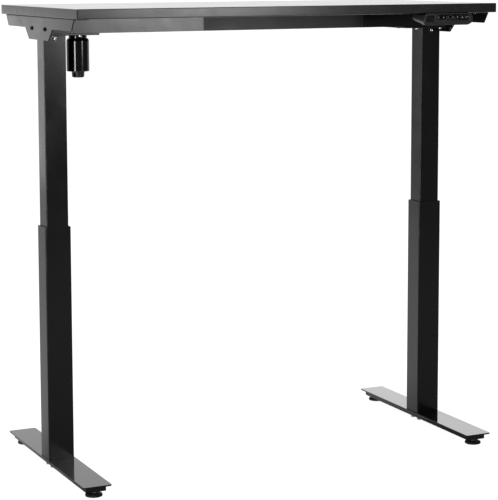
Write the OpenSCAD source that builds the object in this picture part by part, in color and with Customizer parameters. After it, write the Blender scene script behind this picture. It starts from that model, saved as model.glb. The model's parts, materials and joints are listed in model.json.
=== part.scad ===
// Height adjustable standing desk with one motor, two lifting columns and a push-button handset.
// The origin is on the floor, midway between the columns. +X runs along the desk's width, the user
// sits on the -Y side and +Z is up. The desk is drawn near the top of its travel.

/* [Tabletop] */
// Width of the tabletop
top_w = 1200; // [1160:10:1200]
// Depth of the tabletop
top_d = 600; // [600:10:800]
// Thickness of the tabletop
top_t = 25; // [18:1:30]
// Height of the tabletop's upper face above the floor, as drawn
desk_h = 1220; // [1200:5:1220]

/* [Columns] */
// Distance from the middle of the desk to each column's axis
column_x = 562; // [562:1:562]
// Width of the lower, outer tube along X
outer_w = 70; // [70:1:70]
// Depth of the lower, outer tube along Y
outer_d = 63; // [63:1:63]
// Height of the outer tube's upper end above the floor
outer_top = 650; // [640:5:650]
// Width of the upper, sliding tube along X
inner_w = 60; // [60:1:60]
// Depth of the upper, sliding tube along Y
inner_d = 55; // [55:1:55]
// Length of the sliding tube
inner_len = 622; // [600:2:622]
// Wall of both tubes
tube_wall = 2; // [1.5:0.5:2]

/* [Feet] */
// Length of each foot plate along Y
foot_len = 600; // [560:10:640]
// Width of each foot plate
foot_w = 77; // [74:1:84]
// Thickness of each foot plate
foot_t = 4; // [3:1:4]
// Height of the foot plate's upper face above the floor
foot_top = 32; // [32:1:32]
// Diameter of a levelling pad
pad_dia = 44; // [40:1:50]

/* [Frame] */
// Height of the cross rails
rail_h = 40; // [40:1:40]
// Width of the cross rails
rail_w = 32; // [32:1:32]
// Distance from the desk's centre line to the middle of each rail
rail_y = 51; // [51:1:51]
// Sheet thickness of the rails
rail_t = 1.5; // [1:0.5:1.5]
// Half length of a side bracket at its upper edge
bracket_half = 268; // [240:1:280]
// Depth of a side bracket in front of and behind the column
bracket_shallow = 30; // [28:1:34]
// Depth of a side bracket at the column
bracket_deep = 60; // [56:1:60]

/* [Drive] */
// Diameter of the lead screws over the thread
screw_dia = 14; // [12:1:14]
// Diameter of the motor's can
motor_dia = 60; // [56:1:60]
// Teeth on the worm wheel
wheel_teeth = 18; // [18:1:18]
// Teeth on each bevel gear
bevel_teeth = 14; // [14:1:14]

/* [Handset] */
// Width of the handset
handset_w = 152; // [152:1:160]
// Height of the handset
handset_h = 32; // [32:1:34]
// Middle of the handset along X
handset_x = 443; // [420:1:443]
// Size of a button's face
button_w = 10.5; // [9:0.5:10.5]

/* [Hidden] */

// Resolution of round parts
round_fn = 48;
// Small overlap that keeps a cut from ending on a face
eps = 0.5;
// Radial clearance of a shaft in its bearing
run_fit = 0.05;

// Levels of the frame, from the tabletop down
under_z = desk_h - top_t;
bracket_t = 3;
rail_top = under_z - bracket_t;
rail_bottom = rail_top - rail_h;
plate_t = 5;
plate_bottom = rail_bottom - plate_t;

// Side brackets
bracket_out = column_x + inner_w / 2 + 2 + bracket_t;
bracket_in = bracket_out - bracket_t;
bracket_flange = 37;
bracket_end_slant = 20;
bracket_mid_top = 107;
bracket_mid_bottom = 76;
bracket_screw_z = under_z - 31;
bracket_hole_dia = 11;

// Rails: the sleeves reach in from both sides over a middle rail
left_sleeve_len = 433;
right_sleeve_len = 276;
middle_rail_x0 = -380;
middle_rail_x1 = 480;
middle_rail_w = rail_w - 2 * rail_t - 0.4;
middle_rail_top = rail_top - rail_t - 0.2;
lock_inset = 30;
lock_x = [-bracket_in + left_sleeve_len - lock_inset, bracket_in - right_sleeve_len + lock_inset];
lock_z = rail_bottom + 18;
block_len = 100;
block_wall = 3;

// Head plates and their bolts
plate_len = 137;
plate_half_d = 68;
plate_inset = 3;
motor_hole_dia = 20;
screw_hole_dia = 18;
bolt_x = [578, 502];
bolt_dia = 6;
bolt_hole_dia = bolt_dia + 0.4;

// Bolts of the frame, each as [head diameter, head height, length under the head]
plate_bolt = [10, 4.5, 22];
head_bolt = [9.5, 4, 13];
bracket_bolt = [10, 2.6, 10];
lock_bolt = [11, 4, 12];

// Wood screws
wood_dia = 4;
wood_head_dia = 8.6;
wood_head_h = 2.8;
wood_hole_dia = 4.6;
short_screw = 14;
long_screw = 36;

// Feet
channel_w = 54;
channel_h = 14;
channel_len = foot_len - 24;
channel_wall = 1.5;
channel_z = foot_top - foot_t - channel_h;
pad_h = 8;
pad_y = foot_len / 2 - 30;
stud_dia = 8;
stud_top = channel_z + channel_h - 2;
foot_bolt_x = 20;
foot_bolt_y = 17;
foot_bolt_dia = 8;
foot_bolt_hole = foot_bolt_dia + 0.4;
foot_bolt_head_dia = 13;
foot_bolt_head_h = 5;
weld_nut_dia = 15;
weld_nut_h = 6.5;

// Column internals
corner_r = 2.5;
inner_top = plate_bottom;
inner_bottom = inner_top - inner_len;
post_dia = 27;
post_wall = 2;
post_base = 12;
post_base_w = 64;
post_base_d = 54;
nut_len = 40;
nut_spigot = 8;
nut_top = outer_top - 20;
collar_top = outer_top - 1;
collar_len = 37;
collar_gap = 0.3;
shoe_len = 30;
shoe_rise = 5;
head_block_h = 30;
head_bolt_z = inner_top - 8;
bearing_h = 7.5;
bearing_dia = 26;
journal_dia = 10;
journal_hole = 16;
screw_bottom = nut_top - nut_len - 15;

// Gear train: one horizontal shaft drives both screws through 1 to 1 bevel gears
shaft_z = rail_bottom + 22;
shaft_flats = 8;
sleeve_dia = 12;
shaft_hole_dia = 11;
bevel_r = 11;
bevel_face = 5;
bevel_add = 1.0;
bevel_ded = 1.5;
case_l = 58;
case_d = 62;
case_h = 36;
case_wall = 3;
cover_t = 3;

// Worm drive from the motor
motor_x = -483;
worm_pitch = 4;
wheel_r = wheel_teeth * worm_pitch / (2 * PI);
worm_r = 7.3;
motor_y = wheel_r + worm_r;
wheel_w = 7;
worm_len = 20;
motor_case_y0 = -20;
motor_case_y1 = 33;
motor_top = plate_bottom;
motor_neck = 10;
motor_bottom = under_z - 144.5;
motor_shoulder = 8;
motor_wall = 2;
cap_dia = 34;
cap_h = 16;
rotor_dia = 38;
rotor_len = 45;
rotor_shaft_dia = 6;

// Handset
handset_y0 = -top_d / 2 - 10;
handset_d = 60;
handset_wall = 2.2;
handset_r = 13;
handset_bevel = 9;
button_pitch = 14.5;
button_x0 = 413;
button_z = under_z - 11;
button_h = 12;
strip_h = 15;
strip_depth = 1;
pillar_x = [400, 486];
pillar_y = -275;
pillar_dia = 12;
pillar_recess = 9;
window_x = 387;
window_z = under_z - 14;
window_w = 25;
window_h = 16;

// Control box
box_x = 60;
box_l = 200;
box_y = 130;
box_d = 90;
box_h = 32;
box_wall = 2;
lid_t = 2;
lid_l = 236;
lid_hole_x = 108;
lid_hole_y = 30;
inlet_x = 110;
socket_x = [-70, -45];

// ---- shared shapes ----

// Rectangle with rounded corners, centred
module rounded(w, d, r) {
    square([w - 2 * r, d], center = true);
    square([w, d - 2 * r], center = true);
    for (sx = [-1, 1], sy = [-1, 1])
        translate([sx * (w / 2 - r), sy * (d / 2 - r)])
            circle(r, $fn = round_fn);
}

// Upright block with rounded corners, from z0 to z1
module upright(w, d, r, z0, z1) {
    translate([0, 0, z0])
        linear_extrude(z1 - z0)
            rounded(w, d, r);
}

// Upright rectangular tube
module square_tube(w, d, wall, r, z0, z1) {
    difference() {
        upright(w, d, r, z0, z1);
        upright(w - 2 * wall, d - 2 * wall, r - wall, z0 - eps, z1 + eps);
    }
}

// Upright cylinder from z0 to z1
module rod(dia, z0, z1) {
    translate([0, 0, z0])
        cylinder(d = dia, h = z1 - z0, $fn = round_fn);
}

// Upright hexagonal rod, measured across its flats
module hex_rod(flats, z0, z1) {
    translate([0, 0, z0])
        cylinder(d = flats / cos(30), h = z1 - z0, $fn = 6);
}

// Cylinder along X from x0 to x1
module rod_x(dia, x0, x1) {
    translate([x0, 0, 0])
        rotate([0, 90, 0])
            cylinder(d = dia, h = x1 - x0, $fn = round_fn);
}

// Block given by its lowest and highest corners
module block(low, high) {
    translate(low)
        cube(high - low);
}

// Socket head bolt pointing up: the head hangs below z
module bolt_up(dia, head_dia, head_h, z, length) {
    difference() {
        union() {
            rod(head_dia, z - head_h, z);
            rod(dia, z - head_h, z + length);
        }
        translate([0, 0, z - head_h - eps])
            cylinder(d = dia * 0.75, h = head_h * 0.6 + eps, $fn = 6);
    }
}

// Places its children at one column: side is -1 for the left one and 1 for the right one
module at_column(side) {
    translate([side * column_x, 0, 0])
        children();
}

// Outline of a gear with straight-sided teeth; fractions are of one tooth pitch
module toothed(teeth, root_r, tip_r, root_part, tip_part) {
    step = 360 / teeth;
    polygon([
        for (i = [0 : teeth - 1], edge = [-1, 1], end = [0, 1])
            let (
                outer = edge < 0 ? end : 1 - end,
                part = outer == 1 ? tip_part : root_part,
                angle = step * (i + edge * part / 2),
                radius = outer == 1 ? tip_r : root_r
            )
            [radius * cos(angle), radius * sin(angle)]
    ]);
}

// Bevel gear of 45 degrees: its pitch cone's point is at the origin and its back is at -bevel_r
module bevel_teeth_solid(turn) {
    small = (bevel_r - bevel_face) / bevel_r;
    translate([0, 0, -bevel_r])
        linear_extrude(bevel_face, scale = small)
            rotate(turn)
                toothed(bevel_teeth, bevel_r - bevel_ded, bevel_r + bevel_add, 0.56, 0.22);
}

// ---- left and right base ----

module foot_plate(side) {
    color("#2b2b2d")
        at_column(side)
            difference() {
                upright(foot_w, foot_len, 6, foot_top - foot_t, foot_top);
                for (sx = [-1, 1], sy = [-1, 1])
                    translate([sx * foot_bolt_x, sy * foot_bolt_y, 0])
                        rod(foot_bolt_hole, 0, foot_top + eps);
            }
}

module foot_channel(side) {
    color("#232325")
        at_column(side)
            difference() {
                upright(channel_w, channel_len, 2, channel_z, channel_z + channel_h);
                upright(channel_w - 2 * channel_wall, channel_len - 2 * channel_wall, 0.5,
                        channel_z + channel_wall, channel_z + channel_h - channel_wall);
                for (sx = [-1, 1], sy = [-1, 1])
                    translate([sx * foot_bolt_x, sy * foot_bolt_y, 0])
                        rod(foot_bolt_hole, 0, foot_top);
                for (sy = [-1, 1])
                    translate([0, sy * pad_y, 0])
                        rod(stud_dia + 2 * run_fit, 0, channel_z + channel_wall + eps);
            }
}

// Four bolts that hold the column to the foot, and the two weld nuts for the levelling studs
module foot_bolts(side) {
    color("#8d8f92")
        at_column(side) {
            for (sx = [-1, 1], sy = [-1, 1])
                translate([sx * foot_bolt_x, sy * foot_bolt_y, 0])
                    bolt_up(foot_bolt_dia, foot_bolt_head_dia, foot_bolt_head_h, channel_z,
                            foot_top + post_base - channel_z - 1);
            for (sy = [-1, 1])
                translate([0, sy * pad_y, channel_z + channel_wall])
                    difference() {
                        cylinder(d = weld_nut_dia, h = weld_nut_h, $fn = 6);
                        rod(stud_dia + 2 * run_fit, -eps, weld_nut_h + eps);
                    }
        }
}

// Post inside the column that carries the lead nut
module nut_post(side) {
    color("#5a5c60")
        at_column(side)
            difference() {
                union() {
                    upright(post_base_w, post_base_d, 3, foot_top, foot_top + post_base);
                    rod(post_dia, foot_top, nut_top - nut_len);
                }
                rod(post_dia - 2 * post_wall, foot_top + post_base, nut_top);
                for (sx = [-1, 1], sy = [-1, 1])
                    translate([sx * foot_bolt_x, sy * foot_bolt_y, 0])
                        rod(foot_bolt_dia + 0.2, 0, foot_top + post_base + eps);
            }
}

module lead_nut(side) {
    color("#c9b27a")
        at_column(side)
            difference() {
                union() {
                    rod(post_dia, nut_top - nut_len, nut_top);
                    rod(post_dia - 2 * post_wall - 0.2, nut_top - nut_len - nut_spigot, nut_top);
                }
                rod(screw_dia + 2 * run_fit, screw_bottom, nut_top + eps);
            }
}

module outer_tube(side) {
    color("#1f1f21")
        at_column(side)
            square_tube(outer_w, outer_d, tube_wall, corner_r + 0.5, foot_top, outer_top);
}

// Plastic guide in the mouth of the outer tube
module collar(side) {
    color("#151516")
        at_column(side)
            difference() {
                upright(outer_w - 2 * tube_wall - 0.4, outer_d - 2 * tube_wall - 0.4, 1.8,
                        collar_top - collar_len, collar_top);
                upright(inner_w + 2 * collar_gap, inner_d + 2 * collar_gap, corner_r,
                        collar_top - collar_len - eps, collar_top + eps);
            }
}

// Levelling foot: a stud moulded into a round pad
module leveller(side, front) {
    color("#111112")
        translate([side * column_x, front * pad_y, 0])
            rotate_extrude($fn = round_fn)
                polygon([
                    [0, 0], [pad_dia / 2 - 1.5, 0], [pad_dia / 2, 1.5], [pad_dia / 2, pad_h - 2.5],
                    [pad_dia / 2 - 2.5, pad_h], [7, pad_h], [7, pad_h + 4],
                    [stud_dia / 2, pad_h + 4], [stud_dia / 2, stud_top], [0, stud_top]
                ]);
}

// ---- top assembly ----

// Places that the wood screws hold: the bracket flanges, the handset and the control box
bracket_screws = [for (side = [-1, 1], y = [-230, -110, 110, 230]) [side * 577, y]];
handset_screws = [for (x = pillar_x) [x, pillar_y]];
lid_screws = [for (sx = [-1, 1], sy = [-1, 1]) [box_x + sx * lid_hole_x, box_y + sy * lid_hole_y]];

// Board with a small bevel along every edge
module tabletop() {
    bevel = 1.2;
    color("#3a3a3c")
        difference() {
            intersection() {
                translate([0, 0, under_z])
                    linear_extrude(top_t)
                        bevelled(top_w, top_d, bevel);
                translate([0, top_d / 2, under_z + top_t / 2])
                    rotate([90, 0, 0])
                        linear_extrude(top_d)
                            bevelled(top_w, top_t, bevel);
                translate([-top_w / 2, 0, under_z + top_t / 2])
                    rotate([90, 0, 90])
                        linear_extrude(top_w)
                            bevelled(top_d, top_t, bevel);
            }
            for (p = concat(bracket_screws, handset_screws, lid_screws))
                translate([p.x, p.y, 0])
                    rod(wood_dia + 0.2, under_z - eps, under_z + short_screw + 1);
        }
}

// Centred rectangle whose corners are cut at 45 degrees
module bevelled(w, d, cut) {
    polygon([
        for (c = [[1, 1], [-1, 1], [-1, -1], [1, -1]], k = [0, 1])
            let (first = c.x * c.y > 0 ? k == 0 : k == 1)
            [c.x * (w / 2 - (first ? 0 : cut)), c.y * (d / 2 - (first ? cut : 0))]
    ]);
}

// Outline of a side bracket seen from its end, y across and z up
module bracket_outline() {
    low = under_z - bracket_shallow;
    deep = under_z - bracket_deep;
    end_low = bracket_half - bracket_end_slant;
    round_r = 5;
    intersection() {
        offset(round_r, $fn = 24)
            offset(-round_r)
                polygon([
                    [-bracket_half - 9, under_z + 14], [-end_low, low], [-bracket_mid_top, low],
                    [-bracket_mid_bottom, deep], [bracket_mid_bottom, deep],
                    [bracket_mid_top, low], [end_low, low], [bracket_half + 9, under_z + 14]
                ]);
        translate([-bracket_half - 20, deep - 1])
            square([2 * bracket_half + 40, bracket_deep + 1]);
    }
}

// Folded steel bracket: a web outside the column and a flange under the tabletop
module bracket(side) {
    color("#4c4c4e")
        scale([side, 1, 1])
            difference() {
                intersection() {
                    translate([0, bracket_half + 20, 0])
                        rotate([90, 0, 0])
                            linear_extrude(2 * bracket_half + 40)
                                bracket_section();
                    rotate([90, 0, 90])
                        linear_extrude(bracket_out + 1)
                            bracket_outline();
                }
                for (y = [-rail_y, rail_y])
                    translate([0, y, bracket_screw_z])
                        rod_x(bracket_hole_dia, bracket_in - eps, bracket_out + eps);
                for (p = bracket_screws)
                    if (p.x > 0)
                        translate([p.x, p.y, 0])
                            rod(5, rail_top - eps, under_z + eps);
            }
}

module bracket_section() {
    translate([bracket_in, 0])
        square([bracket_t, rail_top]);
    translate([bracket_in - bracket_flange, rail_top])
        square([bracket_flange, bracket_t]);
    translate([bracket_in, rail_top])
        intersection() {
            circle(bracket_t, $fn = round_fn);
            square(bracket_t);
        }
}

// Sheet channel open at the bottom, along X
module channel_down(x0, x1, y, width, z0, z1) {
    difference() {
        block([x0, y - width / 2, z0], [x1, y + width / 2, z1]);
        block([x0 - eps, y - width / 2 + rail_t, z0 - eps],
              [x1 + eps, y + width / 2 - rail_t, z1 - rail_t]);
    }
}

// Holes for the lock bolts, through the inner walls of the outer and middle rails
module lock_holes() {
    for (x = lock_x, s = [-1, 1])
        translate([x, s * (rail_y - rail_w / 2), lock_z])
            rotate([-90 * s, 0, 0])
                rod(bolt_hole_dia, -1, 2 * rail_t + 2);
}

// Outer rails, in front of and behind the columns: long ones on the left and short ones on the right
module outer_rails() {
    color("#2c2c2e")
        difference() {
            for (s = [-1, 1]) {
                channel_down(-bracket_in, -bracket_in + left_sleeve_len, s * rail_y, rail_w,
                             rail_bottom, rail_top);
                channel_down(bracket_in - right_sleeve_len, bracket_in, s * rail_y, rail_w,
                             rail_bottom, rail_top);
            }
            lock_holes();
        }
}

module middle_rails() {
    color("#29292b")
        difference() {
            for (s = [-1, 1])
                channel_down(middle_rail_x0, middle_rail_x1, s * rail_y,
                             middle_rail_w, rail_bottom, middle_rail_top);
            lock_holes();
        }
}

// Welded blocks in the rails' outer ends, which take the bracket screws and the plate bolts
module rail_blocks() {
    w = middle_rail_w;
    top = middle_rail_top;
    color("#4a4c50")
        for (side = [-1, 1], s = [-1, 1])
            difference() {
                translate([side * (bracket_in - block_len / 2), s * rail_y, 0])
                    block([-block_len / 2, -w / 2, rail_bottom], [block_len / 2, w / 2, top]);
                translate([side * (bracket_in - block_len / 2 - block_wall), s * rail_y, 0])
                    block([-block_len / 2, -w / 2 + block_wall, rail_bottom + block_wall],
                          [block_len / 2, w / 2 - block_wall, top - block_wall]);
                for (x = bolt_x)
                    translate([side * x, s * rail_y, 0])
                        rod(bolt_dia + 0.2, rail_bottom - eps, rail_bottom + block_wall + eps);
                translate([side * (bracket_in - block_wall / 2), s * rail_y, bracket_screw_z])
                    rod_x(bolt_dia + 0.2, -block_wall, block_wall);
            }
}

// Steel plates under the rails: each carries its column and gear case, and the left one the motor
module head_plates() {
    plate_mid = bracket_in - plate_inset - plate_len / 2;
    color("#242426")
        difference() {
            for (side = [-1, 1])
                translate([side * plate_mid, 0, 0])
                    upright(plate_len, 2 * plate_half_d, 3, plate_bottom, rail_bottom);
            for (side = [-1, 1], x = bolt_x, s = [-1, 1])
                translate([side * x, s * rail_y, 0])
                    rod(bolt_hole_dia, plate_bottom - eps, rail_bottom + eps);
            for (side = [-1, 1])
                at_column(side)
                    rod(screw_hole_dia, plate_bottom - eps, rail_bottom + eps);
            translate([motor_x, motor_y, 0])
                rod(motor_hole_dia, plate_bottom - eps, rail_bottom + eps);
        }
}

module inner_tube(side) {
    color("#222224")
        at_column(side)
            difference() {
                square_tube(inner_w, inner_d, tube_wall, corner_r, inner_bottom, inner_top);
                translate([0, 0, head_bolt_z])
                    rotate([90, 0, 0])
                        rod(bolt_hole_dia, -inner_d, inner_d);
            }
}

// Plastic shoes round the lower ends of the inner tubes
module glide_shoes() {
    color("#d8d6cf")
        for (side = [-1, 1])
            at_column(side)
                difference() {
                    upright(outer_w - 2 * tube_wall - 0.6, outer_d - 2 * tube_wall - 0.6, 1.8,
                            inner_bottom + shoe_rise, inner_bottom + shoe_rise + shoe_len);
                    upright(inner_w + 0.1, inner_d + 0.1, corner_r,
                            inner_bottom, inner_bottom + shoe_rise + shoe_len + eps);
                }
}

// Blocks in the inner tubes' upper ends that seat the screw bearings
module head_blocks() {
    low = inner_top - head_block_h;
    color("#66686c")
        for (side = [-1, 1])
            at_column(side)
                difference() {
                    upright(inner_w - 2 * tube_wall - 0.2, inner_d - 2 * tube_wall - 0.2, 1.4,
                            low, inner_top);
                    rod(bearing_dia, low - eps, low + bearing_h + eps);
                    rod(journal_hole, low, inner_top + eps);
                    for (s = [-1, 1])
                        translate([0, s * (inner_d / 2 - head_bolt[2]), head_bolt_z])
                            rotate([-90 * s, 0, 0])
                                rod(bolt_dia + 0.2, 0, head_bolt[2] + eps);
                }
}

// Ball bearings, drawn as one closed ring each
module screw_bearings() {
    low = inner_top - head_block_h;
    color("#b8babd")
        for (side = [-1, 1])
            at_column(side)
                difference() {
                    rod(bearing_dia - 0.1, low + 0.4, low + bearing_h + 0.4);
                    rod(journal_dia + 2 * run_fit, low - eps, low + bearing_h + 2 * eps);
                }
}

// Open-topped case round one bevel gear pair
module gear_case(x) {
    translate([x, 0, 0])
        difference() {
            block([-case_l / 2, -case_d / 2, rail_bottom], [case_l / 2, case_d / 2, rail_bottom + case_h]);
            block([-case_l / 2 + case_wall, -case_d / 2 + case_wall, rail_bottom + case_wall],
                  [case_l / 2 - case_wall, case_d / 2 - case_wall, rail_bottom + case_h + eps]);
            rod(screw_hole_dia, rail_bottom - eps, rail_bottom + case_wall + eps);
            translate([0, 0, shaft_z]) {
                rod_x(sleeve_dia + 2 * run_fit, case_l / 2 - case_wall - eps, case_l / 2 + eps);
                rod_x(shaft_hole_dia, -case_l / 2 - eps, -case_l / 2 + case_wall + eps);
            }
        }
}

module gear_cases() {
    color("#7c7e82")
        for (side = [-1, 1])
            gear_case(side * column_x);
}

// Lids of the two column gear cases and of the motor's gear case
module gear_covers() {
    z0 = rail_bottom + case_h;
    color("#8a8c90") {
        for (side = [-1, 1])
            at_column(side)
                block([-case_l / 2, -case_d / 2, z0], [case_l / 2, case_d / 2, z0 + cover_t]);
        translate([motor_x, 0, 0])
            block([-case_l / 2, motor_case_y0, z0], [case_l / 2, motor_case_y1, z0 + cover_t]);
    }
}

module motor_gear_case() {
    color("#7c7e82")
        translate([motor_x, 0, 0])
            difference() {
                block([-case_l / 2, motor_case_y0, rail_bottom],
                      [case_l / 2, motor_case_y1, rail_bottom + case_h]);
                block([-case_l / 2 + case_wall, motor_case_y0 + case_wall, rail_bottom + case_wall],
                      [case_l / 2 - case_wall, motor_case_y1 - case_wall, rail_bottom + case_h + eps]);
                translate([0, motor_y, 0])
                    rod(motor_hole_dia, rail_bottom - eps, rail_bottom + case_wall + eps);
                translate([0, 0, shaft_z])
                    rod_x(sleeve_dia + 2 * run_fit, -case_l / 2 - eps, case_l / 2 + eps);
            }
}

// Deep-drawn motor can with a rounded shoulder under its neck
module motor_can() {
    r = motor_dia / 2;
    neck_r = r - 3;
    turn_z = motor_top - motor_neck - motor_shoulder;
    turn = [
        for (a = [0 : 15 : 90])
            [r - motor_shoulder * (1 - cos(a)), turn_z + motor_shoulder * sin(a)]
    ];
    color("#17171a")
        translate([motor_x, motor_y, 0])
            difference() {
                rotate_extrude($fn = 96)
                    polygon(concat(
                        [[0, motor_bottom], [r - 1, motor_bottom], [r, motor_bottom + 1]],
                        turn,
                        [[neck_r - 3, motor_top - motor_neck], [neck_r - 3, motor_top], [0, motor_top]]
                    ));
                rod(motor_dia - 2 * motor_wall, motor_bottom + 4, motor_top - motor_neck - motor_shoulder);
                rod(motor_hole_dia, motor_bottom + 5, motor_top + eps);
                rod(12, motor_bottom - eps, motor_bottom + 5);
            }
}

// Cap under the motor that closes its lower bearing
module motor_cap() {
    color("#141416")
        translate([motor_x, motor_y, 0])
            difference() {
                rotate_extrude($fn = 64)
                    polygon([
                        [0, motor_bottom - cap_h], [cap_dia / 2 - 3, motor_bottom - cap_h],
                        [cap_dia / 2 - 1, motor_bottom - cap_h + 2], [cap_dia / 2, motor_bottom - 2],
                        [cap_dia / 2, motor_bottom], [0, motor_bottom]
                    ]);
                rod(rotor_shaft_dia + 2 * run_fit, motor_bottom - 10, motor_bottom + eps);
            }
}

// Cross-section of the handset, y across and z up, shrunk by wall
module handset_section(wall) {
    y0 = handset_y0 + wall;
    y1 = handset_y0 + handset_d - wall;
    z0 = under_z - handset_h + wall;
    cut = handset_bevel - wall * 0.4;
    polygon([
        [y0, under_z], [y0, z0 + cut], [y0 + cut, z0], [y1 - cut, z0], [y1, z0 + cut], [y1, under_z]
    ]);
}

module handset_body(wall) {
    intersection() {
        translate([handset_x - handset_w / 2, 0, 0])
            rotate([90, 0, 90])
                linear_extrude(handset_w)
                    handset_section(wall);
        translate([handset_x, 0, under_z - handset_h / 2])
            rotate([90, 0, 0])
                linear_extrude(2 * top_d, center = true)
                    rounded(handset_w - 2 * wall, handset_h - 2 * wall, handset_r - wall);
    }
}

// Cut through the face or a pocket in it, from y0 to y1
module face_cut(x, z, w, h, r, y0, y1) {
    translate([x, y1, z])
        rotate([90, 0, 0])
            linear_extrude(y1 - y0)
                rounded(w, h, r);
}

module handset_case() {
    face_back = handset_y0 + handset_wall;
    strip_w = 7 * button_pitch + 3;
    color("#1c1c1e")
        difference() {
            union() {
                difference() {
                    handset_body(0);
                    handset_body(handset_wall);
                }
                for (x = pillar_x)
                    translate([x, pillar_y, 0])
                        rod(pillar_dia, under_z - handset_h + 1, under_z - handset_wall);
            }
            face_cut(button_x0 + 3 * button_pitch, button_z, strip_w, strip_h, strip_h / 2 - 0.5,
                     handset_y0 - eps, handset_y0 + strip_depth);
            for (i = [0 : 6])
                face_cut(button_x0 + i * button_pitch, button_z, button_w + 0.6, button_h + 0.6, 2.3,
                         handset_y0 - eps, face_back + eps);
            face_cut(window_x, window_z, window_w, window_h, 3, handset_y0 - eps, face_back + eps);
            for (x = pillar_x)
                translate([x, pillar_y, 0]) {
                    rod(wood_head_dia + 0.8, under_z - handset_h - eps, under_z - handset_h + pillar_recess);
                    rod(wood_hole_dia, under_z - handset_h, under_z + eps);
                }
        }
}

module handset_window() {
    color("#08080a")
        face_cut(window_x, window_z, window_w - 0.2, window_h - 0.2, 2.9,
                 handset_y0 + 0.4, handset_y0 + handset_wall + 0.8);
}

// Circuit board behind the face, with one switch behind each button
module handset_board() {
    y0 = handset_y0 + 13;
    color("#1f5a36") {
        block([handset_x - 58, y0, under_z - 22], [handset_x + 58, y0 + 1.6, under_z - 5]);
        for (i = [0 : 6])
            block([button_x0 + i * button_pitch - 3, y0 - 3.5, button_z - 3],
                  [button_x0 + i * button_pitch + 3, y0 + 0.2, button_z + 3]);
    }
}

// One push button: a cap, a collar behind the face and a stem to its switch
module button(i) {
    x = button_x0 + i * button_pitch;
    color("#262628") {
        face_cut(x, button_z, button_w, button_h, 2, handset_y0 + 0.5, handset_y0 + 3.6);
        face_cut(x, button_z, button_w + 1.8, button_h + 1.2, 2.6,
                 handset_y0 + handset_wall + 0.3, handset_y0 + 3.6);
        face_cut(x, button_z, 4, 4, 1, handset_y0 + 3, handset_y0 + 8.5);
    }
}

// Control box under the tabletop, behind the rear rail
module control_box() {
    z0 = under_z - lid_t - box_h;
    color("#2a2a2c")
        translate([box_x, box_y, 0])
            difference() {
                upright(box_l, box_d, 4, z0, under_z - lid_t);
                upright(box_l - 2 * box_wall, box_d - 2 * box_wall, 2, z0 + box_wall, under_z);
                translate([inlet_x - box_x, box_d / 2, z0 + box_h / 2])
                    cube([28, 10, 21], center = true);
                for (x = socket_x)
                    translate([x, box_d / 2, z0 + box_h / 2])
                        cube([12, 10, 9], center = true);
            }
}

module control_lid() {
    color("#38383a")
        translate([box_x, box_y, 0])
            difference() {
                upright(lid_l, box_d, 4, under_z - lid_t, under_z);
                for (sx = [-1, 1], sy = [-1, 1])
                    translate([sx * lid_hole_x, sy * lid_hole_y, 0])
                        rod(wood_hole_dia, under_z - lid_t - eps, under_z + eps);
            }
}

// Circuit board with its transformer, two relays and the two signal sockets
module control_board() {
    z0 = under_z - lid_t - box_h + box_wall + 4;
    zc = under_z - lid_t - box_h / 2;
    color("#1f5a36")
        translate([box_x, box_y, 0]) {
            block([-92, -38, z0], [30, 40, z0 + 1.6]);
            block([-80, -30, z0 + 1], [-38, 8, z0 + 22]);
            for (x = [-15, 10])
                block([x - 8, -28, z0 + 1], [x + 8, 0, z0 + 16]);
            for (x = socket_x) {
                block([x - 5.8, 26, z0 + 1], [x + 5.8, box_d / 2 - box_wall - 0.3, z0 + 14.5]);
                block([x - 5.8, 40, zc - 4.3], [x + 5.8, box_d / 2, zc + 4.3]);
            }
        }
}

// Appliance inlet with three pins, in the rear wall of the control box
module mains_inlet() {
    zc = under_z - lid_t - box_h / 2;
    y1 = box_y + box_d / 2 + 1.5;
    color("#0e0e10")
        translate([inlet_x, 0, zc]) {
            difference() {
                union() {
                    block([-13.8, y1 - 22, -10.2], [13.8, y1, 10.2]);
                    block([-16.5, y1 - 1.5, -12.5], [16.5, y1, 12.5]);
                }
                block([-11, y1 - 18, -7.5], [11, y1 + eps, 7.5]);
            }
            for (x = [-6, 0, 6])
                block([x - 1, y1 - 19, x == 0 ? 0.5 : -4.5], [x + 1, y1 - 6, x == 0 ? 4.5 : -0.5]);
        }
}

// Plate bolts, column head bolts, bracket screws and rail lock screws
module frame_bolts() {
    color("#b9bbbe") {
        for (side = [-1, 1], x = bolt_x, s = [-1, 1])
            translate([side * x, s * rail_y, 0])
                frame_bolt(plate_bolt, plate_bottom);
        for (side = [-1, 1], s = [-1, 1])
            translate([side * column_x, s * inner_d / 2, head_bolt_z])
                rotate([s * 90, 0, 0])
                    frame_bolt(head_bolt, 0);
        for (side = [-1, 1], s = [-1, 1])
            translate([side * bracket_in, s * rail_y, bracket_screw_z])
                rotate([0, -90 * side, 0])
                    frame_bolt(bracket_bolt, 0);
        for (x = lock_x, s = [-1, 1])
            translate([x, s * (rail_y - rail_w / 2), lock_z])
                rotate([-90 * s, 0, 0])
                    frame_bolt(lock_bolt, 0);
    }
}

module frame_bolt(size, z) {
    bolt_up(bolt_dia, size[0], size[1], z, size[2]);
}

// Countersunk wood screws into the tabletop
module top_screws() {
    color("#9a9ca0") {
        for (p = bracket_screws)
            translate([p.x, p.y, 0])
                wood_screw(rail_top, short_screw);
        for (p = handset_screws)
            translate([p.x, p.y, 0])
                wood_screw(under_z - handset_h + pillar_recess, long_screw);
        for (p = lid_screws)
            translate([p.x, p.y, 0])
                wood_screw(under_z - lid_t, short_screw);
    }
}

module wood_screw(z, length) {
    slot = [5, 1, 3];
    difference() {
        union() {
            rod(wood_head_dia, z - wood_head_h, z);
            rod(wood_dia, z - wood_head_h, z + length);
        }
        for (turn = [0, 90])
            translate([0, 0, z - wood_head_h])
                rotate(turn)
                    cube(slot, center = true);
    }
}

// ---- drive train ----

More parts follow.
